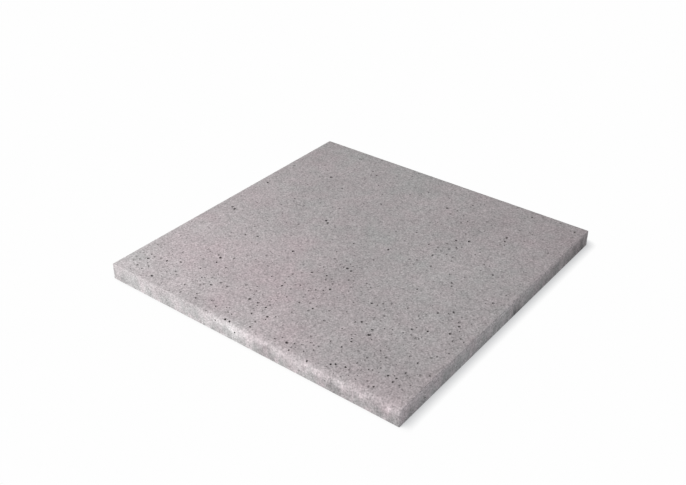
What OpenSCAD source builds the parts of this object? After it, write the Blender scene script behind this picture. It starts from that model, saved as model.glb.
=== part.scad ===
// Pool coping corner: one thin slab of cast stone.
// The slab lies on the plane z = 0, with its origin under the middle of the top.
// Its front edge (-Y) overhangs the water. That edge is rounded to a nosing from the
// right-hand end (+X) on, and the nosing dies away before the left-hand corner, so
// that the slab is square there. All sizes are in millimetres.

/* [Slab] */
// Length of the slab along its nosed front edge
slab_l = 500; // [440:10:700]
// Depth of the slab, from the front edge to the back edge
slab_w = 500; // [240:10:700]
// Thickness of the slab
slab_t = 25; // [20:1:60]

/* [Nosing] */
// Radius of the nosing
nosing_r = 9.5; // [6:0.5:16]
// Length of the full nosing, from the right-hand end of the slab
nosing_l = 300; // [150:10:340]
// Length over which the nosing dies away
runout_l = 50; // [20:5:80]

/* [Arrises] */
// Radius that eases the other top edges and the upright corners
arris_r = 1.5; // [0.5:0.25:3]

/* [Hidden] */

$fn = 96;
stone = [0.66, 0.63, 0.63];
over = 1;                           // how far a cutter stands clear of the slab

right_x = slab_l / 2;
back_y = slab_w / 2;
full_x = right_x - nosing_l;        // where the full nosing ends and the run-out starts

// What is cut from a corner at the origin to leave a quarter round.
// The stone fills x < 0 and y < 0.
module corner_waste(r) {
    difference() {
        translate([-r, -r]) square(r + over);
        translate([-r, -r]) circle(r);
    }
}

// The same, swept along the top edge of a front face, from x0 to x1.
// The edge is the X axis, and the stone fills y > 0 and z < 0.
module edge_waste(x0, x1, r) {
    translate([x1, 0, 0]) rotate([90, 0, -90]) linear_extrude(x1 - x0) corner_waste(r);
}

// Nosing and run-out on the same edge, with the full nosing from the origin to x1.
// Along the run-out the round bar that shapes the nosing rises straight out of the
// corner, until it just touches the corner line.
module nosing_waste(x1) {
    rise = nosing_r * (1 - 1 / sqrt(2)) / runout_l;   // in z, and as much in -y
    bar_n = sqrt(1 + 2 * pow(rise, 2));
    difference() {
        translate([-runout_l - over, -over, -nosing_r])
            cube([runout_l + over + x1, nosing_r + over, nosing_r + over]);
        translate([0, nosing_r, -nosing_r]) {
            translate([-runout_l - 2 * over, 0, 0]) rotate([0, 90, 0])
                cylinder(h = runout_l + x1 + 3 * over, r = nosing_r);
            rotate([0, acos(-rise / bar_n), atan(rise)])
                translate([0, 0, -runout_l - nosing_r])
                    cylinder(h = runout_l + 2 * nosing_r, r = nosing_r);
        }
    }
}

// Front edge: plain arris on the left, run-out, then the full nosing.
module front_edge_waste() {
    translate([0, -back_y, slab_t]) {
        edge_waste(-right_x - over, full_x + over, arris_r);
        translate([full_x, 0, 0]) nosing_waste(nosing_l + over);
    }
}

// Arris on the right-hand end of the slab: up the front corner, round the curve of
// the nosing, then along the top to the back.
module right_end_waste() {
    translate([right_x, -back_y, -over]) linear_extrude(over + slab_t - nosing_r)
        rotate(-90) corner_waste(arris_r);
    translate([right_x, nosing_r - back_y, slab_t - nosing_r]) rotate([90, 0, 90])
        rotate_extrude(angle = 90, start = 90)
            translate([nosing_r, 0]) corner_waste(arris_r);
    rotate(90) translate([0, -right_x, slab_t])
        edge_waste(nosing_r - back_y, back_y + over, arris_r);
}

// Arrises along the back and the left-hand side.
module back_and_left_waste() {
    rotate(180) translate([0, -back_y, slab_t])
        edge_waste(-right_x - over, right_x + over, arris_r);
    rotate(270) translate([0, -right_x, slab_t])
        edge_waste(-back_y - over, back_y + over, arris_r);
}

// Upright arris at the corner that is turned anticlockwise from the back right one.
module upright_waste(x, y, turn) {
    translate([x, y, -over]) linear_extrude(slab_t + 2 * over)
        rotate(turn) corner_waste(arris_r);
}

module coping_slab() {
    color(stone) difference() {
        translate([-right_x, -back_y, 0]) cube([slab_l, slab_w, slab_t]);
        front_edge_waste();
        right_end_waste();
        back_and_left_waste();
        upright_waste(right_x, back_y, 0);
        upright_waste(-right_x, back_y, 90);
        upright_waste(-right_x, -back_y, 180);
    }
}

coping_slab();
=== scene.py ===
# %% [markdown]
# # A pool coping corner in cast stone
#
# The object is one thin slab of cast stone. Its front edge, over the water, is rounded to
# a nosing from the right-hand end on, and the nosing dies away before the left-hand
# corner. Everything else about it is surface: open pores, sandy grain, soft mottling and
# slightly worn arrises. So the lesson has four parts: shape the slab, open its pores, give
# the stone its finish, and set it on a white floor under soft light.
#
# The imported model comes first. It says how large the slab is and where it stands, so no
# size of the whole is written here a second time. All lengths are in metres.

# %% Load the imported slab
import math
import random

import bmesh
import bpy
import numpy as np
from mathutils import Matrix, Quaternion, Vector


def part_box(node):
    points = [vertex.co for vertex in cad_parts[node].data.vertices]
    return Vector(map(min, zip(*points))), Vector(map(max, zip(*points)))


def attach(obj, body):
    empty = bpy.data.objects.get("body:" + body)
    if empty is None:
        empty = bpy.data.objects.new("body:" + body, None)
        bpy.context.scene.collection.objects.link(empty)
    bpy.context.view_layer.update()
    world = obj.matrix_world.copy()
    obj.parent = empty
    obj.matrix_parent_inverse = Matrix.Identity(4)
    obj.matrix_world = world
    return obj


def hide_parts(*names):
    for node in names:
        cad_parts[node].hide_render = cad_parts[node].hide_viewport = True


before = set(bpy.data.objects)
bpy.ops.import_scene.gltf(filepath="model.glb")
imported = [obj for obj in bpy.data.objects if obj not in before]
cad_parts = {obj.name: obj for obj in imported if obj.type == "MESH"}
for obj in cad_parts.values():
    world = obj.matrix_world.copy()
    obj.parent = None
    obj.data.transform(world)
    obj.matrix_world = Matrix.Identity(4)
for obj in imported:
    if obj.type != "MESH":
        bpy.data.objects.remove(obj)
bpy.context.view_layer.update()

MM = 0.001
low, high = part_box("coping_slab")

# %% [markdown]
# ## The block
#
# The real slab is cast in a shallow mould, so it starts as a plain block. It could be
# drawn as an outline and extruded, but a cube of the right size has the same six faces at
# once, and every later step is a change to one of its edges. Its size and place are
# applied to its mesh, because the library wants each object at the origin, unscaled.

# %% Add the block
bpy.ops.object.select_all(action="DESELECT")
bpy.ops.mesh.primitive_cube_add(size=1, location=(low + high) / 2, scale=high - low)
slab = bpy.context.object
slab.name = "cast_slab"
bpy.ops.object.transform_apply(location=True, rotation=True, scale=True)
print("block:", len(slab.data.polygons), "faces")

# %% [markdown]
# ## Picking an edge by its place
#
# In a window one would click on the edge that becomes the nosing. A script picks it by
# where it is: both its ends lie on the front face and on the top. Edit mode keeps whatever
# was selected last, so the helper deselects everything first. The next operator then acts
# on what it picked and on nothing else.

# %% Pick the front top edge
CLOSE = 0.01 * MM        # places nearer to each other than this are the same


def same(a, b):
    """Whether two lengths are the same but for rounding."""
    return abs(a - b) < CLOSE


def pick(piece, kind, test):
    """In edit mode, selects only the vertices, edges or faces that pass the test."""
    bpy.ops.mesh.select_mode(type=kind)
    bpy.ops.mesh.select_all(action="DESELECT")
    mesh = bmesh.from_edit_mesh(piece.data)
    parts = {"VERT": mesh.verts, "EDGE": mesh.edges, "FACE": mesh.faces}[kind]
    found = [part for part in parts if test(part)]
    for part in found:
        part.select_set(True)
    bmesh.update_edit_mesh(piece.data)
    return len(found)


def on_front_top_edge(edge):
    return all(same(v.co.y, low.y) and same(v.co.z, high.z) for v in edge.verts)


bpy.ops.object.mode_set(mode="EDIT")
print("picked", pick(slab, "EDGE", on_front_top_edge), "edge")

# %% [markdown]
# ## The nosing
#
# The nosing is a quarter round that keeps swimmers' hands and feet off a sharp edge. A
# bevel with eight segments turns the picked edge into one. The real nosing dies away
# towards the left, but a bevel has one width, so the run-out is made afterwards. The block
# is cut across at a few stations, and at each of them the round profile is scaled towards
# the old corner line. A quarter round that is scaled about its corner is a smaller quarter
# round that still touches both faces, so nothing has to be fitted.

# %% Round the front edge
NOSING_R = 9.5 * MM
bpy.ops.mesh.bevel(offset=NOSING_R, segments=8, profile=0.5, affect="EDGES")
bpy.ops.object.mode_set(mode="OBJECT")
print("rounded block:", len(slab.data.polygons), "faces")

# %% Let the rounding die away
NOSING_L = 300 * MM      # the full nosing, from the right-hand end
RUNOUT_L = 50 * MM
STATIONS = 11
PLAIN_R = 1.0 * MM       # what is left of the round on the plain stretch
full_x = high.x - NOSING_L
stations = np.linspace(full_x, full_x - RUNOUT_L, STATIONS)


def cut_through(places, axis):
    """In edit mode, cuts the whole mesh by planes at right angles to an axis."""
    normal = [0, 0, 0]
    normal[axis] = 1
    for place in places:
        at = [0, 0, 0]
        at[axis] = place
        bpy.ops.mesh.select_all(action="SELECT")
        bpy.ops.mesh.bisect(plane_co=at, plane_no=normal)


def in_round(point):
    """Whether a point lies in the corner that the full nosing takes up."""
    return point.y < low.y + NOSING_R + CLOSE and point.z > high.z - NOSING_R - CLOSE


bpy.ops.object.mode_set(mode="EDIT")
cut_through(stations, 0)
for x in [*stations[1:], low.x]:
    share = min((full_x - x) / RUNOUT_L, 1)
    ease = share * share * (3 - 2 * share)
    size = 1 + (PLAIN_R / NOSING_R - 1) * ease
    pick(slab, "VERT", lambda v: same(v.co.x, x) and in_round(v.co))
    bpy.ops.transform.resize(value=(1, size, size), center_override=(x, low.y, high.z))
bpy.ops.object.mode_set(mode="OBJECT")
print("nosing full from x =", round(full_x / MM), "mm:", len(slab.data.polygons), "faces")

# %% [markdown]
# ## The arrises
#
# No cast slab has razor edges: an arris is the fine round that is left on each. The top
# edges of both ends and the back get one, the upright corners too, and on the right it
# follows the curve of the nosing. The bottom edges stay sharp, because they were the
# mould's open side. It is the same bevel as before, a little smaller than the plain
# stretch of the front edge, so that the two never use each other up at the corner.

# %% Ease the other edges
ARRIS_R = 0.93 * MM
LEAST_BEND = 0.1         # in radians; two faces that meet flatter than this have no edge


def sharp_edge_above_floor(edge):
    """The outline of both ends and of the back, but not what lies on the floor."""
    a, b = (v.co for v in edge.verts)
    on_floor = same(a.z, low.z) and same(b.z, low.z)
    on_end = any(same(a.x, x) and same(b.x, x) for x in (low.x, high.x))
    on_back = same(a.y, high.y) and same(b.y, high.y)
    return (on_end or on_back) and not on_floor and edge.calc_face_angle() > LEAST_BEND


bpy.ops.object.mode_set(mode="EDIT")
picked = pick(slab, "EDGE", sharp_edge_above_floor)
bpy.ops.mesh.bevel(offset=ARRIS_R, segments=3, profile=0.5, affect="EDGES")
bpy.ops.object.mode_set(mode="OBJECT")
print("eased", picked, "edges:", len(slab.data.polygons), "faces")

# %% [markdown]
# ## Something to wear down
#
# Wear needs vertices to move, and so far the slab has few. The whole block is cut into
# squares of 10 mm, and its sides into rows of 3 mm. In a band along the outline, where
# wear shows, the long edges are then divided by four, to 2.5 mm. Cutting everything that
# fine would cost eighty thousand faces, nearly all of them in the flat, where nothing
# happens.

# %% Cut squares, and finer ones along the outline
CELL = 10 * MM
ROW = 3 * MM
RIM = 4 * MM             # the outermost strip of squares is cut in two here
EDGE_BAND = 9 * MM
LEVEL = 0.2 * MM         # the ends of a level edge differ less than this in height


def between(a, b, step):
    """Even places between a and b, the two ends left out."""
    count = round((b - a) / step)
    return [a + (b - a) * k / count for k in range(1, count)]


def long_edge_at_rim(edge):
    """A level edge, longer than the rim is wide, that runs close beside the outline."""
    a, b = (v.co for v in edge.verts)
    if (a - b).length < RIM or abs(a.z - b.z) > LEVEL:
        return False
    axis = 1 if abs(a.x - b.x) > abs(a.y - b.y) else 0
    middle = (a + b) / 2
    return min(middle[axis] - low[axis], high[axis] - middle[axis]) < EDGE_BAND


bpy.ops.object.mode_set(mode="EDIT")
for axis in (0, 1):
    cut_through(between(low[axis], high[axis], CELL), axis)
    cut_through([low[axis] + RIM, high[axis] - RIM], axis)
cut_through(between(low.z, high.z, ROW), 2)
picked = pick(slab, "EDGE", long_edge_at_rim)
bpy.ops.mesh.subdivide(number_cuts=3, quadcorner="INNERVERT")
bpy.ops.object.mode_set(mode="OBJECT")
print("divided", picked, "edges:", len(slab.data.polygons), "faces")

# %% [markdown]
# ## Wear and casting marks
#
# Three Displace modifiers push the surface in, never out, so the slab keeps its size.
# Handling crumbles every arris a little, it has rubbed two stretches of the right-hand
# arris further, and the sides keep the shallow waves of the mould. Each modifier follows a
# vertex group of its own, whose weights are set by a rule, as a brush would set them: full
# on the edge, nothing on the flats. Sculpting could do the same by hand, but a rule is
# easier to change.

# %% Say where the slab is worn and waved
WORN_REACH = 4 * MM
RUBBED_REACH = 11 * MM
RUBBED = [(-240 * MM, 18 * MM), (-60 * MM, 14 * MM)]     # places along the arris, and reach
AT_SIDE = 0.5 * MM       # nearer to a side plane than this counts as on it


def arris_share(point):
    """1 on the line where two outer planes meet, 0 at the reach of the wear."""
    gaps = sorted([point.x - low.x, high.x - point.x, point.y - low.y, high.y - point.y,
                   high.z - point.z])
    return max(0.0, 1 - gaps[1] / WORN_REACH)


def rubbed_share(point):
    """How far each stretch of the right-hand arris is rubbed down, from 0 to 1."""
    gap = max(high.x - point.x, high.z - point.z)
    stretch = max(math.exp(-((point.y - y) / reach) ** 2) for y, reach in RUBBED)
    return stretch * max(0.0, 1 - gap / RUBBED_REACH) ** 2


def side_share(point):
    """1 on the four sides, 0 elsewhere."""
    gap = min(point.x - low.x, high.x - point.x, point.y - low.y, high.y - point.y)
    return 1.0 if gap < AT_SIDE else 0.0


groups = {name: slab.vertex_groups.new(name=name) for name in ("worn", "rubbed", "waved")}
above_floor = [v for v in slab.data.vertices if not same(v.co.z, low.z)]
for v in above_floor:
    groups["worn"].add([v.index], arris_share(v.co), "REPLACE")
    groups["rubbed"].add([v.index], rubbed_share(v.co), "REPLACE")
    groups["waved"].add([v.index], side_share(v.co), "REPLACE")
print(len(above_floor), "vertices above the floor have weights")

# %% Push it in
def push_in(piece, group, depth, grain, steps):
    """Displaces a vertex group inwards by up to depth, with lumps of about the grain."""
    lumps = bpy.data.textures.new(group, "CLOUDS")
    lumps.noise_scale = grain
    lumps.noise_depth = steps
    push = piece.modifiers.new(group, "DISPLACE")
    push.texture = lumps
    push.texture_coords = "LOCAL"
    push.vertex_group = group
    push.mid_level = 0
    push.strength = -depth
    bpy.context.view_layer.objects.active = piece
    bpy.ops.object.modifier_apply(modifier=group)
    print(group, "by up to", round(depth / MM, 2), "mm")


push_in(slab, "worn", 0.4 * MM, 6 * MM, 2)
push_in(slab, "rubbed", 1.6 * MM, 30 * MM, 1)
push_in(slab, "waved", 0.35 * MM, 16 * MM, 1)

# %% [markdown]
# ## Where the pores are
#
# When wet stone is cast, air is trapped against the mould and leaves pores, from pinholes
# of 1 mm to blowholes of almost 6. They stand in loose crowds. They could be drawn in the
# material, but the large ones throw real shade and show at the edge, so they are cut into
# the mesh. The largest have a list of places, in millimetres from the middle of the top.
# Each is a straight throw from above, and where it meets the slab gives the pore's place
# and the direction in which it opens.

# %% Set out the large pores
LARGE_PORES = [          # x, y and width
    # far third
    (235, 233, 4.9), (164, 232, 3.8), (-107, 196, 4.6), (45, 176, 5.0), (162, 156, 5.1),
    (165, 145, 4.2), (-162, 144, 5.8), (-45, 123, 4.2), (123, 113, 5.2), (106, 104, 4.4),
    # middle third
    (80, 70, 3.6), (-234, 66, 4.9), (195, 58, 3.8), (100, 49, 4.3), (-82, 30, 5.4),
    (-76, 26, 5.0), (41, 22, 4.5), (160, 6, 4.0), (229, 0, 4.5), (-225, -27, 4.8),
    (-218, -30, 5.6), (130, -36, 3.7), (198, -50, 4.9), (24, -54, 5.3), (32, -56, 4.4),
    (182, -64, 3.8), (-66, -67, 5.2), (-135, -68, 4.4), (220, -72, 4.3), (-152, -76, 3.9),
    # near third
    (12, -86, 4.3), (-10, -92, 4.0), (219, -92, 4.7), (100, -100, 4.0), (193, -105, 4.0),
    (36, -109, 4.5), (175, -114, 4.4), (-22, -143, 4.1), (114, -141, 4.0), (-138, -144, 5.8),
    (135, -146, 4.0), (-134, -156, 4.0), (138, -157, 5.6), (22, -158, 3.4), (45, -158, 3.7),
    (-114, -158, 3.3), (125, -177, 3.4), (128, -182, 3.4), (-175, -187, 4.7),
    (-36, -193, 5.1), (-6, -194, 4.0), (-193, -197, 4.1), (125, -198, 3.5),
    (-101, -201, 4.5), (214, -205, 3.1), (203, -207, 3.7), (9, -208, 4.3),
    (-219, -209, 4.7), (-12, -216, 3.6), (153, -226, 4.1), (140, -229, 4.2),
    (-219, -230, 4.0), (135, -233, 4.1), (65, -234, 5.2), (201, -234, 3.4),
    (-182, -236, 5.0), (6, -238, 3.5), (-24, -245, 3.6), (-32, -245, 3.8), (107, -245, 3.4),
]
SPACING = 0.62           # least distance between two pores, as a share of their widths
OPEN = 1.0               # depth of an open pore, as a share of a whole bowl
AWAY = 1.0               # a throw starts this far out, in metres
pores = []               # (place, outward normal, width, depth)


def land(start, direction):
    """The place and outward normal where a straight throw meets the slab."""
    hit, place, normal, _ = slab.ray_cast(start, direction)
    return (place, normal) if hit else None


def keep_pore(found, width, depth=OPEN):
    """Keeps a pore if it is clear of the others."""
    if found is None:
        return False
    place, normal = found
    if any((place - other).length < SPACING * (width + its_width)
           for other, _, its_width, _ in pores):
        return False
    pores.append((place, normal, width, depth))
    return True


def drop(x, y):
    """Where a throw from straight above a place on the top, in millimetres, lands."""
    return land((x * MM, y * MM, AWAY), (0, 0, -1))


bpy.context.view_layer.update()
for x, y, width in LARGE_PORES:
    keep_pore(drop(x, y), width * MM)
print(len(pores), "large pores from the list")

# %% [markdown]
# ## The rest of the pores
#
# The smaller pores are thrown at random, from a fixed seed so that each run gives the same
# slab. A throw at the top counts more often near the front, and more often still inside a
# crowd, which is a place and a reach that thicken the pores round it. One that lands on an
# older pore is thrown again. Small widths are drawn more often than large ones, as in real
# stone. Some throws are shallow: a skin of cement has half filled those bubbles, and they
# show as grey dots, not black ones.

# %% Throw the small pores on the top
SHALLOW = 0.45           # depth of a half-filled pore, as a share of a whole bowl
THROWN_TO = 247          # in millimetres, 3 short of the outline
NARROWER = 1.6           # the higher, the more of the widths are narrow
# How often a throw counts: anywhere, how much more at the front edge, and in a crowd
ANYWHERE, AT_FRONT, IN_A_CROWD = 0.16, 0.22, 0.8
# The x and y of a crowd's middle, and its reach
CROWDS = [(-170, 165, 24), (145, 150, 16), (178, 108, 24), (108, 75, 26), (186, 50, 14),
          (-160, 48, 20), (75, 15, 18), (165, 0, 16), (25, -40, 30), (-142, -40, 18),
          (22, -80, 20), (24, -125, 22), (-80, -105, 16), (122, -105, 30), (160, -75, 18),
          (208, -60, 20), (232, -92, 16), (180, -125, 18), (-25, -165, 26), (0, -140, 20),
          (-104, -155, 15), (-135, -180, 26), (-170, -207, 26), (-222, -212, 24),
          (-118, -230, 26), (-12, -225, 28), (88, -228, 24), (190, -212, 32),
          (160, -178, 18)]
chance = random.Random(42)


def crowd(x, y):
    """How thick the pores stand at a place on the top, given in millimetres."""
    near = sum(math.exp(-((x - a) ** 2 + (y - b) ** 2) / reach ** 2)
               for a, b, reach in CROWDS)
    to_front = max(0, y * MM / low.y)
    return min(1.0, ANYWHERE + AT_FRONT * to_front + IN_A_CROWD * near)


def draw_width(narrow, wide):
    """A width in metres between two in millimetres, more often a narrow one."""
    return (narrow + (wide - narrow) * chance.random() ** NARROWER) * MM


def throw_on_top(count, narrow, wide, depth=OPEN):
    """Throws pores at the top, thicker in the crowds."""
    made = 0
    while made < count:
        x = chance.uniform(-THROWN_TO, THROWN_TO)
        y = chance.uniform(-THROWN_TO, THROWN_TO)
        width = draw_width(narrow, wide)
        if chance.random() < crowd(x, y):
            made += keep_pore(drop(x, y), width, depth)


# How many, and how narrow and wide in millimetres
throw_on_top(40, 2.5, 3.5)
throw_on_top(260, 3.0, 5.0, SHALLOW)
throw_on_top(80, 1.8, 2.6)
throw_on_top(780, 1.1, 1.8)
print(len(pores), "pores on the top")

# %% Throw the pores on the sides and the bottom
CLEAR_OF_EDGE = 2.5 * MM


def throw_on_face(count, narrow, wide, axis, sign):
    """Throws pores at the face of the block that looks along an axis, or against it."""
    made = 0
    while made < count:
        start = Vector([chance.uniform(a, b) for a, b in zip(low, high)])
        start[axis] = sign * AWAY
        direction = [0, 0, 0]
        direction[axis] = -sign
        width = draw_width(narrow, wide)
        clear = min(gap for k in range(3) if k != axis
                    for gap in (start[k] - low[k], high[k] - start[k]))
        if clear > CLEAR_OF_EDGE:
            made += keep_pore(land(start, direction), width)


# Right, left, back and front, of which the right and the front have fewer
for axis, sign, count in ((0, 1, 15), (0, -1, 24), (1, 1, 24), (1, -1, 15)):
    throw_on_face(count // 3, 1.8, 3.2, axis, sign)
    throw_on_face(count, 1.0, 1.8, axis, sign)
# The bottom
throw_on_face(60, 1.8, 4.0, 2, -1)
throw_on_face(120, 1.0, 1.8, 2, -1)
print(len(pores), "pores in all")

# %% [markdown]
# ## The tools that open the pores
#
# A trapped bubble leaves a rough bowl. It is modelled as what fills it: a small ball of
# triangles, drawn out along its own axis and roughened by moving its vertices at random.
# Three lumps serve for blowholes, and two coarser ones for pinholes, where more faces
# would be wasted.
#
# Slab and lumps get the same three material slots: the face, the wall of an open pore and the
# wall of a shallow one. A Boolean leaves each wall with the slot number of the tool that cut it,
# so the inside of a pore can be darker than the face, with painted shade. The materials are still
# empty, but there have to be three, because joining pieces merges slots that hold the same one.

# %% Model the lumps
def model_lump(name, rounds, roughness, seed):
    """A rough ball, about 1 across and 1.5 along its own Z axis."""
    bpy.ops.object.select_all(action="DESELECT")
    bpy.ops.mesh.primitive_ico_sphere_add(subdivisions=rounds, radius=0.5)
    lump = bpy.context.object
    lump.name = name
    bpy.ops.object.mode_set(mode="EDIT")
    bpy.ops.mesh.select_all(action="SELECT")
    bpy.ops.transform.resize(value=(1, 0.86, 1.5), center_override=(0, 0, 0))
    bpy.ops.transform.vertex_random(offset=roughness, uniform=0.6, normal=0.4, seed=seed)
    bpy.ops.object.mode_set(mode="OBJECT")
    return lump


large_lumps = [model_lump("blowhole", 2, 0.07, seed) for seed in (3, 8, 12)]
small_lumps = [model_lump("pinhole", 1, 0.06, seed) for seed in (5, 9)]
FACE_SLOT, OPEN_SLOT, SHALLOW_SLOT = range(3)
# The two wall materials will carry painted shade inside the pores.
stones = [bpy.data.materials.new(name) for name in
          ("cast_stone_face", "cast_stone_pore_wall_painted_shade", "cast_stone_shallow_pit_painted_shade")]
for piece in [slab, *large_lumps, *small_lumps]:
    for material in stones:
        piece.data.materials.append(material)
print("a blowhole has", len(large_lumps[0].data.polygons), "faces, a pinhole",
      len(small_lumps[0].data.polygons))

# %% [markdown]
# ## Cutting them all at once
#
# Each pore gets a copy of a lump, turned at random about its axis and set square to the
# surface. Its middle stands a little above the surface, so that the mouth is the widest
# part and the bowl runs in under no overhang. The copies are joined, and one Boolean cuts
# them all, which takes a second. A Boolean for each pore would take minutes.

# %% Copy the lumps to the pores and cut
LARGE_FROM = 2.2 * MM
RAISED = 0.12            # as a share of the width
DEPTHS = (0.8, 1.15)     # no two pores are equally deep for their width
tools = []
for place, normal, width, depth in pores:
    tool = chance.choice(large_lumps if width > LARGE_FROM else small_lumps).copy()
    tool.data = tool.data.copy()
    for face in tool.data.polygons:
        face.material_index = OPEN_SLOT if depth == OPEN else SHALLOW_SLOT
    spin = Quaternion((0, 0, 1), chance.uniform(0, 2 * math.pi))
    tool.rotation_mode = "QUATERNION"
    tool.rotation_quaternion = normal.to_track_quat("Z", "Y") @ spin
    tool.location = place + normal * RAISED * width * depth
    tool.scale = (width, width, width * depth * chance.uniform(*DEPTHS))
    bpy.context.collection.objects.link(tool)
    tools.append(tool)

bpy.ops.object.select_all(action="DESELECT")
for tool in tools:
    tool.select_set(True)
bpy.context.view_layer.objects.active = tools[0]
bpy.ops.object.join()
pore_tool = bpy.context.object
bpy.ops.object.transform_apply(location=True, rotation=True, scale=True)

cut = slab.modifiers.new("pores", "BOOLEAN")
cut.operation = "DIFFERENCE"
cut.solver = "MANIFOLD"
cut.object = pore_tool
bpy.ops.object.select_all(action="DESELECT")
slab.select_set(True)
bpy.context.view_layer.objects.active = slab
bpy.ops.object.modifier_apply(modifier="pores")
for spare in [pore_tool, *large_lumps, *small_lumps]:
    bpy.data.objects.remove(spare)
walls = [face for face in slab.data.polygons if face.material_index != FACE_SLOT]
print("slab with pores:", len(slab.data.polygons), "faces,", len(walls), "of them in pores")

# %% [markdown]
# ## One finished piece
#
# Curved parts are shaded smooth and real edges sharp, by the angle between faces. Then the piece
# rides on the only body, and the CAD slab it replaces is hidden.

SHARP_FROM = math.radians(38)
bpy.ops.object.shade_smooth_by_angle(angle=SHARP_FROM)
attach(slab, "root")
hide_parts("coping_slab")
slab.data.calc_loop_triangles()
print(slab.name, "has", len(slab.data.loop_triangles), "triangles")

# %% [markdown]
# ## A flat layout for baking
#
# The library bakes the finish into pictures, and for that the surface is laid out flat.
# A slab is a box, so each face goes to the side it looks towards, and the faces inside a
# pore go to the side the pore opens on. The top gets most of the sheet, the four sides
# lie above it as strips, and the bottom, which is hardly seen, gets a small square. An
# automatic unwrap would cut every pore out as a crumb of its own.

# %% Plan the sheet
TOP_WIDTH, STRIP_WIDTH, BOTTOM_WIDTH = 0.74, 0.037, 0.24
MARGIN, STRIP_STEP = 0.005, 0.045
sheet_places = [(MARGIN, TOP_WIDTH + 3 * MARGIN + STRIP_STEP * k, TOP_WIDTH, STRIP_WIDTH)
                for k in range(4)]
sheet_places.append((TOP_WIDTH + 3 * MARGIN, MARGIN, BOTTOM_WIDTH, BOTTOM_WIDTH))
sheet_places.append((MARGIN, MARGIN, TOP_WIDTH, TOP_WIDTH))
AXES = ((1, 2), (1, 2), (0, 2), (0, 2), (0, 1), (0, 1))    # along each, and up it
for name, (left, bottom, width, height) in zip(
        ("left", "right", "front", "back", "bottom", "top"), sheet_places):
    print(name, "from", (round(left, 3), round(bottom, 3)), "size", (width, height))

# %% Lay the slab out flat
def read(items, name, width, kind=float):
    """A property of all faces, corners or vertices of the slab, as an array."""
    values = np.empty(len(items) * width, kind)
    items.foreach_get(name, values)
    return values.reshape(-1, width)


faces, corners = slab.data.polygons, slab.data.loops
centre, facing = read(faces, "center", 3), read(faces, "normal", 3)
in_pore = read(faces, "material_index", 1, int)[:, 0] != FACE_SLOT
least, most = np.array(low), np.array(high)
nearest = np.stack([centre - least, most - centre], 2).reshape(-1, 6).argmin(1)
towards = np.stack([-facing, facing], 2).reshape(-1, 6).argmax(1)
face_side = np.where(in_pore, nearest, towards)      # left, right, front, back, bottom, top
corner_side = np.repeat(face_side, read(faces, "loop_total", 1, int)[:, 0])
at = read(slab.data.vertices, "co", 3)[read(corners, "vertex_index", 1, int)[:, 0]]
share = (at - least) / (most - least)
flat = np.zeros((len(corners), 2))
for side, (left, bottom, width, height) in enumerate(sheet_places):
    along, up = AXES[side]
    spot = np.stack([left + width * share[:, along], bottom + height * share[:, up]], 1)
    flat[corner_side == side] = spot[corner_side == side]
layout = slab.data.uv_layers.new(name="OFBake")
layout.data.foreach_set("uv", flat.ravel())
print("laid out", len(faces), "faces,", int(in_pore.sum()), "of them in pores")

# %% [markdown]
# ## The finish: what the eye sees
#
# Cast stone is cement, pigment, sand and crushed stone, poured and left as it comes from the
# mould. It is matt all over. The eye sees four things on it: a warm mauve where the pigment
# gathered and grey where it didn't, soft clouds where the mix was wetter, a speckle of sand
# grains, and a pale painted highlight on the nosing. Some light and shade is painted as well: the
# top lighter towards the lamp, a darker shoulder above the nosing, a lighter rim on the
# right-hand end, and shade at the foot of the sides and inside the pores. The sides also keep a
# blotchy skin from the mould.
#
# Such patches could come from noise alone, but then the mauve and the painted highlight would lie
# anywhere. So the large patches are painted, as a brush would: layers with one value at each
# vertex. The material reads them and adds the fine patterns, which are noise.

# %% Something to paint with
points = read(slab.data.vertices, "co", 3) / MM
x, y, z = points.T
(LEFT, FRONT, _), (RIGHT, BACK, TOP) = np.array(low) / MM, np.array(high) / MM


def soft(top=(), front=(), right=()):
    """Adds up soft patches: two places in millimetres on a face, a reach and an amount."""
    patches = [((a, b, TOP), reach, amount) for a, b, reach, amount in top]
    patches += [((a, FRONT, b), reach, amount) for a, b, reach, amount in front]
    patches += [((RIGHT, a, b), reach, amount) for a, b, reach, amount in right]
    layer = np.zeros(len(points))
    for middle, reach, amount in patches:
        gap = np.linalg.norm(points - middle, axis=1)
        layer += amount * np.exp(-(gap / reach) ** 2)
    return layer


def fade(values, none, full):
    """0 at none, 1 at full, and even in between."""
    return np.clip((values - none) / (full - none), 0, 1)


def paint(name, values):
    """Keeps one value at each vertex as a painted layer that a material can read."""
    layer = slab.data.attributes.new(name, "FLOAT", "POINT")
    layer.data.foreach_set("value", values)
    print(name, "from", round(values.min(), 2), "to", round(values.max(), 2))


print("painting on", len(points), "vertices")

# %% [markdown]
# ## Mauve and grey
#
# The pigment is iron oxide, stirred into grey cement. More than 0 means a warmer, mauve
# patch, and less than 0 a greyer one. On the top the first two numbers are x and y, on the
# front x and z, and on the right-hand end y and z.

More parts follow.
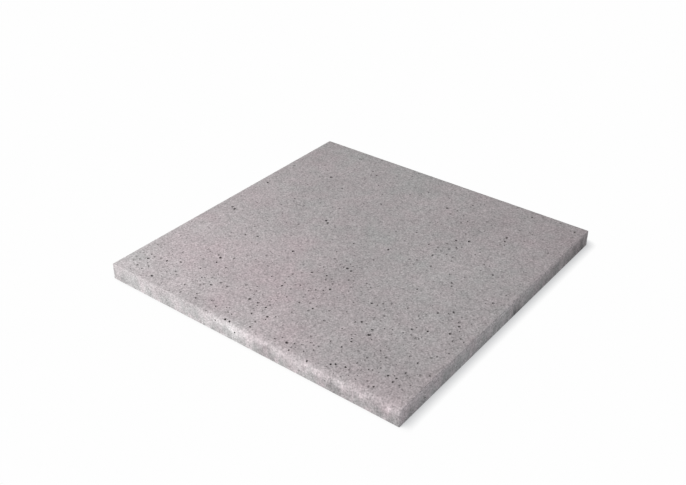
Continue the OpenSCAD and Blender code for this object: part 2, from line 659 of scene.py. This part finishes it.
# %% Paint the pigment
paint("mauve", soft(
    top=[(-170, -150, 62, 0.8), (-60, -135, 62, 0.9), (20, -115, 45, 0.7),
         (55, -225, 40, 0.8), (5, -185, 30, 0.6), (-65, -45, 28, 0.7), (-225, 15, 22, 0.9),
         (-235, -75, 18, 0.7), (-60, -225, 30, 0.7), (180, -240, 22, 0.7),
         (230, -215, 25, 0.4), (232, -240, 15, 0.7), (238, -165, 18, 0.4),
         (-220, 190, 30, 0.3), (190, 190, 60, 0.3), (20, 40, 45, -0.5), (150, 10, 80, -0.4),
         (-130, 70, 25, -0.4), (200, -130, 35, -0.3), (-40, 225, 55, -0.7),
         (-180, 245, 40, -0.6), (-110, -195, 14, -0.8), (-230, -210, 22, -0.9),
         (220, 245, 15, -0.7), (-30, -82, 18, -0.7), (-175, -92, 20, -0.4),
         (-50, 10, 22, -0.35), (-245, 225, 15, -0.6), (-100, 240, 18, -0.5)],
    front=[(-228, 12, 14, 0.4), (-170, 12, 25, -0.35), (-68, 10, 18, -0.8),
           (-14, 10, 18, -0.7), (142, 12, 16, 0.8), (225, 12, 18, 0.7)],
    right=[(-220, 12, 14, 0.5), (-178, 8, 14, -0.5), (120, 12, 28, 0.5), (215, 12, 35, 0.5)]))

# %% [markdown]
# ## Clouds with painted light, and two fine lines
#
# Where the mix was wetter, the cement has dried lighter or darker, by a tenth at most. Mixed in
# with these clouds is painted light: the top is painted lighter towards the front left, where the
# lamp is, and darker towards the front right. Two lines belong to the same layer, because they
# too only change how light the stone is. The shoulder, where the flat top turns into the nosing,
# is a little darker, as painted shade that tones down how the curve catches the light. The rim of
# the right-hand end is lighter: partly its arris is rubbed clean, and partly it is a painted
# highlight along that edge.

# %% Paint the clouds, with the painted light and shade of the top
SHOULDER_DARKER, RIM_LIGHTER = 0.07, 0.14
from_front = y - FRONT
down = (TOP - z) - from_front            # down across the nosing, 0 in its middle
full = full_x / MM
on_nosing = fade(x, full - 60, full - 10)
shoulder_shade = fade(down, -9, -4) * fade(down, 1.5, -1) * on_nosing * fade(x, 160, 110)
rim_wear_and_highlight = fade(z, TOP - 5, TOP - 2) * fade(x, RIGHT - 1, RIGHT - 0.4) * fade(z, TOP, TOP - 0.4)
# Patches of tone, and painted light: the top lighter towards the lamp at the front left, darker
# towards the front right.
tone_and_painted_light = soft(
    top=[(-150, -235, 30, 0.08), (-160, -195, 60, 0.08), (-235, -230, 35, 0.06),
         (-210, -70, 38, 0.05), (15, -215, 20, 0.06), (-230, 60, 35, 0.03),
         (-100, -30, 40, -0.06), (-130, 100, 55, -0.04), (-60, 70, 30, -0.04),
         (55, -90, 60, -0.07), (100, -100, 40, -0.07), (150, -190, 35, -0.09),
         (222, -195, 42, -0.11), (220, -20, 50, -0.03), (150, 50, 30, 0.04),
         (75, 75, 30, -0.05), (130, 190, 40, -0.04), (150, 225, 25, 0.04),
         (-30, 20, 35, -0.04), (-75, 195, 40, 0.03)])
# The cloud layer: tone, painted light on the top, painted shade on the shoulder, and a rim that
# is partly wear and partly painted highlight.
paint("cloud", tone_and_painted_light - SHOULDER_DARKER * shoulder_shade + RIM_LIGHTER * rim_wear_and_highlight)

# %% [markdown]
# ## Stains, and painted shade at the foot of the sides
#
# The mould's release oil and the water that ran down inside it leave blotches on the sides: more
# than 0 is paler, less than 0 darker. They stop at the top, which lay against the smooth floor of
# the mould. The dark patches low down, at the foot and by the corners, are painted shade where
# the sides meet the floor.

# %% Paint the stains and the shade at the foot
stains_and_foot_shade = soft(
    front=[(-250, 0, 26, -0.30), (-242, 12, 14, 0.16), (-160, 10, 18, -0.08),
           (-120, 16, 12, 0.10), (-70, 2, 20, 0.15), (-38, 2, 14, -0.22), (-30, 12, 30, 0.18),
           (2, 7, 9, -0.12), (20, 4, 13, 0.16), (40, 6, 18, -0.20), (64, 8, 12, 0.12),
           (86, 6, 9, -0.12), (112, 0, 12, 0.18), (140, 15, 12, -0.30), (162, 7, 14, -0.18),
           (188, 8, 20, 0.15), (205, 0, 40, -0.12), (232, 20, 16, -0.15)],
    right=[(-245, 20, 20, 0.14), (-240, 0, 18, -0.30), (-208, 12, 14, 0.08),
           (-112, 8, 20, 0.10), (-80, 12, 10, -0.10), (-42, 0, 14, -0.14),
           (-15, -2, 16, -0.12), (20, 16, 65, 0.27), (170, 12, 55, 0.10),
           (25, -4, 30, -0.75), (78, -2, 14, -0.22), (82, 12, 14, -0.10),
           (115, -4, 30, -0.20), (148, 10, 18, -0.16), (203, 20, 12, -0.10),
           (200, 4, 14, 0.12), (215, -4, 50, -0.32), (241, 6, 13, -0.12)])
# Blotches of stain, and painted shade low on the sides where they meet the floor.
paint("stain_and_foot_shade", stains_and_foot_shade * fade(z, TOP, TOP - 5))

# %% [markdown]
# ## A painted highlight on the nosing
#
# A pale band on the nosing is a painted highlight, strongest where the round begins and gone at
# the foot. Two more layers say where other patterns belong: the skin of the mould, which is on
# the sides only, and how strongly the sand shows, which is less on the rounded front than on the
# top.

# %% Paint the highlight, the sides and the grain
# How strong the painted highlight on the nosing is, from place to place.
thick = soft(front=[(-35, 25, 30, 0.4), (25, 25, 34, 0.85), (150, 25, 36, 0.6),
                    (235, 25, 18, 0.45)])
paint("nosing_highlight", (0.3 + thick) * fade(down, -1.5, 3) * fade(down, 17, 9) * on_nosing
      * fade(x, RIGHT, RIGHT - 1))
from_side = np.minimum.reduce([x - LEFT, RIGHT - x, y - FRONT, BACK - y])
paint("side", fade(from_side, 7, 2) * fade(z, TOP, 8))
paint("grain", 1 - 0.25 * fade(down, -6, 3) * fade(x, RIGHT - 10, 0))

# %% [markdown]
# ## Stone as a material
#
# All the stone is one material, built up in steps. It starts with what holds everywhere:
# a rough, matt surface with the IOR of stone, 1.5, set straight on the shader. Patterns
# are read from Object coordinates, in metres, so a Scale of 1 / size gives lumps of that
# size, and nothing slides when the camera moves.

# %% Start the stone
def linear(code):
    """An sRGB hex colour as the linear RGBA that a shader takes."""
    parts = [int(code[k:k + 2], 16) / 255 for k in (1, 3, 5)]
    return (*[p / 12.92 if p <= 0.04045 else ((p + 0.055) / 1.055) ** 2.4 for p in parts], 1)


def add(tree, kind, settings=None, inputs=None):
    """Adds a node with its settings. An input gets a value, a socket or a node's first output."""
    node = tree.nodes.new("ShaderNode" + kind)
    for name, value in (settings or {}).items():
        setattr(node, name, value)
    for name, value in (inputs or {}).items():
        if isinstance(value, bpy.types.Node):
            value = value.outputs[0]
        if isinstance(value, bpy.types.NodeSocket):
            tree.links.new(value, node.inputs[name])
        else:
            node.inputs[name].default_value = value
    return node


cast_stone = stones[FACE_SLOT]
cast_stone.use_nodes = True
tree = cast_stone.node_tree
stone = tree.nodes["Principled BSDF"]
stone.inputs["Roughness"].default_value = 0.88
stone.inputs["IOR"].default_value = 1.5
place = add(tree, "TexCoord").outputs["Object"]
# Painted light among these layers: the clouds carry painted light and shade, the nosing layer is
# a painted highlight, and the stains carry painted shade at the foot.
painted = {name: add(tree, "Attribute", {"attribute_name": name}).outputs["Fac"]
           for name in ("mauve", "cloud", "stain_and_foot_shade", "nosing_highlight", "side", "grain")}
print("reads the layers", ", ".join(painted))

# %% [markdown]
# ## The skin of the mould
#
# Against the mould's upright walls the cement paste sets to a thin skin with blotches of
# about 14 mm, drawn out up and down, the way it ran. A Mapping node that shrinks z
# stretches the pattern that way. The painted side layer keeps it off the top.

# %% Add the skin
drawn = add(tree, "Mapping", None, {"Vector": place, "Scale": (1, 1, 0.45)})
skin = add(tree, "TexNoise", None, {"Vector": drawn, "Scale": 1 / (14 * MM), "Detail": 2})
skin = add(tree, "MapRange", None,
           {"Value": skin, "From Min": 0.36, "From Max": 0.64, "To Min": -1, "To Max": 1})
skin = add(tree, "Math", {"operation": "MULTIPLY"}, {0: painted["side"], 1: skin})
print("skin:", len(tree.nodes), "nodes so far")

# %% [markdown]
# ## Two colours
#
# The whole slab lies between a warm mauve grey and a neutral one. Small clouds of 30 mm
# mix the two: a tint of 0 is all mauve and 1 all grey. The painted pigment pulls towards
# the mauve, and the sides with their skin are greyer. Two close colours and a soft mix
# look like stone, where bright ones would look like paint.

# %% Mix the colours
WARM, COOL = linear("#A99DA0"), linear("#A19F9F")
cloud = add(tree, "TexNoise", None, {"Vector": place, "Scale": 1 / (30 * MM), "Detail": 3})
tint = add(tree, "MapRange", {"clamp": False}, {"Value": cloud, "To Min": 0.03, "To Max": 1.13})
for part, pull in ((painted["mauve"], -0.5), (painted["side"], 0.22), (skin, -0.3)):
    tint = add(tree, "Math", {"operation": "MULTIPLY_ADD"}, {0: part, 1: pull, 2: tint})
colour = add(tree, "Mix", {"data_type": "RGBA", "clamp_factor": True},
             {0: tint, 6: WARM, 7: COOL}).outputs[2]
print("colour:", len(tree.nodes), "nodes so far")

# %% [markdown]
# ## Light and dark
#
# Everything else only makes the stone lighter or darker. Each part gives a change round 0,
# and each has an amount: a number or another pattern that breaks it up.
#
# - Clouds of 90 mm and blotches of 18 mm, where the mix was uneven.
# - Sand. Its real grains are mostly finer than 1 mm, too fine to show from where one
#   stands, so they are drawn at 2 mm and show as the same speckle.
# - The painted clouds, which carry painted light and shade as well as tone, and the skin of the
#   mould.
# - The painted highlight on the nosing, in streaks of 9 mm drawn out along it, and the stains
#   with their painted shade at the foot, in blotches of 8 mm drawn out up and down.
#
# The noise is the 4D kind: its W picks another pattern for each, so that they don't lie on
# each other. W is multiplied by Scale too, and half-way between whole numbers the noise is
# at its liveliest, so it is given as a number of sizes and a half.

# %% Collect the light and dark patterns
# The painted clouds carry painted light and shade as well as tone.
changes = [(painted["cloud"], 1.0), (skin, 0.16)]
for size, detail, number, swing, amount in (
        (90 * MM, 2, 1, 0.3, 1.0),
        (18 * MM, 1, 5, 0.15, 1.0),
        (2 * MM, 0, 7, 1.2, painted["grain"])):
    noise = add(tree, "TexNoise", {"noise_dimensions": "4D"},
                {"Vector": place, "W": (number + 0.5) * size, "Scale": 1 / size,
                 "Detail": detail})
    change = add(tree, "MapRange", None,
                 {"Value": noise, "To Min": -swing / 2, "To Max": swing / 2})
    changes.append((change, amount))

along = add(tree, "Mapping", None, {"Vector": place, "Scale": (0.5, 1, 1)})
# First the painted highlight on the nosing, then the stains with the painted shade at the foot.
for name, vector, size, number, weakest, strongest in (
        ("nosing_highlight", along, 9 * MM, 9, 0.05, 0.5),
        ("stain_and_foot_shade", drawn, 8 * MM, 8, 0.2, 1.7)):
    noise = add(tree, "TexNoise", {"noise_dimensions": "4D"},
                {"Vector": vector, "W": (number + 0.5) * size, "Scale": 1 / size,
                 "Detail": 2})
    amount = add(tree, "MapRange", None,
                 {"Value": noise, "From Min": 0.35, "From Max": 0.65, "To Min": weakest,
                  "To Max": strongest})
    changes.append((painted[name], amount))
print(len(changes), "changes to the lightness")

# %% [markdown]
# ## Putting it together
#
# Each change multiplies the lightness: light x (1 + part x amount), which is one Multiply and one
# Multiply Add. Multiplying, and not adding, keeps dark places as contrasty as pale ones. The last
# node dims the whole: it stays at 1 for the face, and the pores' copies lower it to paint shade
# inside them. The surface is gritty to the touch, and a bump of 1.8 mm lumps, 0.3 mm high, breaks
# up the light as that grit does.

# %% Finish the face
light = 1.0
for part, amount in changes:
    change = add(tree, "Math", {"operation": "MULTIPLY"}, {0: part, 1: amount})
    light = add(tree, "Math", {"operation": "MULTIPLY_ADD"}, {0: light, 1: change, 2: light})
# The dim is 1 here. The pores' copies lower it as painted shade.
dim = add(tree, "Math", {"operation": "MULTIPLY", "name": "dim"}, {0: light, 1: 1.0})
scaled = add(tree, "VectorMath", {"operation": "SCALE"}, {0: colour, "Scale": dim})
tree.links.new(scaled.outputs[0], stone.inputs["Base Color"])

grit = add(tree, "TexNoise", None, {"Vector": place, "Scale": 1 / (1.8 * MM), "Detail": 2})
bump = add(tree, "Bump", None, {"Strength": 0.6, "Distance": 0.3 * MM, "Height": grit})
tree.links.new(bump.outputs[0], stone.inputs["Normal"])
print(cast_stone.name, "has", len(tree.nodes), "nodes")

# %% [markdown]
# ## Painted shade inside the pores
#
# The walls of the pores are the same stone, and light hardly gets in. Their darkness is painted
# shade: the eye sees open pores as near black and half-filled ones as grey. Each is a copy of the
# face's material with one number changed, the dim, and takes the name and the slot of the empty
# material that was there.

# %% Copy the stone, with painted shade, for the pores
# Painted shade: the lightness of the walls of open and of half-filled pores.
for slot, lightness in ((OPEN_SLOT, 0.46), (SHALLOW_SLOT, 0.66)):
    name = stones[slot].name
    bpy.data.materials.remove(stones[slot])
    wall = cast_stone.copy()
    wall.name = name
    wall.node_tree.nodes["dim"].inputs[1].default_value = lightness
    slab.data.materials[slot] = wall
print([material.name for material in slab.data.materials])

# %% [markdown]
# ## A white floor with a short soft shade
#
# A studio shot has a white sheet under the object that runs up behind it. If the lamps
# alone had to make it white, the stone would be far too bright. So what the camera sees of
# the sheet is its own white, and the lamps fall on a plain pale floor that only throws
# their light back at the stone. Light Path tells the two apart. Glossy and transmission
# rays see the white as well, so that a shiny object would reflect it.
#
# The white keeps a shade, or the slab would hang in the air. Ambient Occlusion measures
# how much of what a floor point looks at, up to 16 mm away, is covered by the slab. Its
# normal is leaned to the front and a little to the left, roughly to where the main lamp
# is, so the shade falls on the far side from it, dark and slightly blue at the foot and
# gone within a finger's width.

# %% Lay the floor
def show_straight(tree, plain, shown, output):
    """Shows one shader to camera, glossy and transmission rays, and another to the rest."""
    path = add(tree, "LightPath")
    rays = [path.outputs[f"Is {kind} Ray"] for kind in ("Camera", "Glossy", "Transmission")]
    straight = add(tree, "Math", {"operation": "ADD"}, {0: rays[0], 1: rays[1]})
    straight = add(tree, "Math", {"operation": "ADD", "use_clamp": True},
                   {0: straight, 1: rays[2]})
    either = add(tree, "MixShader", None, {0: straight, 1: plain, 2: shown})
    tree.links.new(either.outputs[0], output)


WHITE = linear("#FFFFFF")
NEARLY_WHITE = 0.991     # a strength of 1 would clip
DEEP_SHADE = linear("#001D38")
SHADE_REACH = 16 * MM
LEANED_NORMAL = (-0.235, -0.875, 0.423)
FLOOR_WIDTH = 12         # in metres

bpy.ops.object.select_all(action="DESELECT")
bpy.ops.mesh.primitive_plane_add(size=FLOOR_WIDTH, location=(0, 0, low.z))
floor = bpy.context.object
floor.name = "studio_floor"
paper = bpy.data.materials.new("white_paper")
paper.use_nodes = True
tree = paper.node_tree
plain = tree.nodes["Principled BSDF"]
plain.inputs["Base Color"].default_value = linear("#E7E7E7")
plain.inputs["Roughness"].default_value = 0.9
plain.inputs["Specular IOR Level"].default_value = 0
lean = add(tree, "CombineXYZ", None, dict(enumerate(LEANED_NORMAL)))
open_sky = add(tree, "AmbientOcclusion", {"samples": 16},
               {"Distance": SHADE_REACH, "Normal": lean}).outputs["AO"]
tone = add(tree, "Mix", {"data_type": "RGBA"}, {0: open_sky, 6: DEEP_SHADE, 7: WHITE})
seen = add(tree, "Emission", None, {"Color": tone.outputs[2], "Strength": NEARLY_WHITE})
show_straight(tree, plain, seen, tree.nodes["Material Output"].inputs["Surface"])
floor.data.materials.append(paper)
print("floor at z =", round(floor.location.z, 4))

# %% [markdown]
# ## Soft light
#
# The world lights the slab evenly from all round and shows the same white as the floor
# behind it. One large round lamp at the front left, 35 degrees up, stands for the studio's
# window side. It brightens the top and the nosing and leaves the right-hand end in shade.
# A weak, slightly blue lamp low on the right opens that shade up.

# %% Set the world and the lamps
world = bpy.data.worlds.new("studio")
bpy.context.scene.world = world
world.use_nodes = True
tree = world.node_tree
sky = tree.nodes["Background"]
sky.inputs["Color"].default_value = WHITE
sky.inputs["Strength"].default_value = 0.45
backdrop = add(tree, "Background", None, {"Color": WHITE, "Strength": NEARLY_WHITE})
show_straight(tree, sky, backdrop, tree.nodes["World Output"].inputs["Surface"])


def softbox(name, azimuth, height, distance, size, level, colour="#FFFFFF"):
    """A round lamp aimed at the slab. Level 1 lights a facing white card to white."""
    turn, rise = math.radians(azimuth), math.radians(height)
    place = distance * Vector((math.cos(turn) * math.cos(rise),
                               math.sin(turn) * math.cos(rise), math.sin(rise)))
    lamp = bpy.data.lights.new(name, "AREA")
    lamp.shape = "DISK"
    lamp.size = size
    lamp.energy = level * (math.pi * distance) ** 2
    lamp.color = linear(colour)[:3]
    stand = bpy.data.objects.new(name, lamp)
    stand.location = place
    stand.rotation_euler = (-place).to_track_quat("-Z", "Y").to_euler()
    bpy.context.collection.objects.link(stand)
    print(name, round(lamp.energy, 2), "W,", distance, "m away")


softbox("key", azimuth=235, height=35, distance=1.6, size=0.6, level=0.935)
softbox("fill", azimuth=335, height=10, distance=1.0, size=0.4, level=0.1, colour="#EEF6FF")

# %% [markdown]
# ## The camera
#
# It stands off the front right-hand corner and looks down at about 32 degrees, at a point
# just left of the middle. The nosing and the right-hand end both show.

# %% Set the camera
VIEWPOINT = Vector((0.6843, -0.9181, 0.7611))
AIM = Vector((-0.0354, 0.0118, 0.0125))
SENSOR, LENS = 36, 48.6  # in millimetres, close to what the eye sees
camera = bpy.data.objects.new("camera", bpy.data.cameras.new("camera"))
bpy.context.collection.objects.link(camera)
camera.location = VIEWPOINT
camera.rotation_euler = (AIM - VIEWPOINT).to_track_quat("-Z", "Y").to_euler()
camera.data.sensor_width = SENSOR
camera.data.lens = LENS
bpy.context.scene.camera = camera
bpy.context.scene.view_settings.view_transform = "Standard"
print("camera", round((AIM - VIEWPOINT).length, 3), "m from what it looks at")

# %% [markdown]
# ## Sizes and finish
#
# The finished slab must fill the same box as the imported one.

# %% The end
print("done")
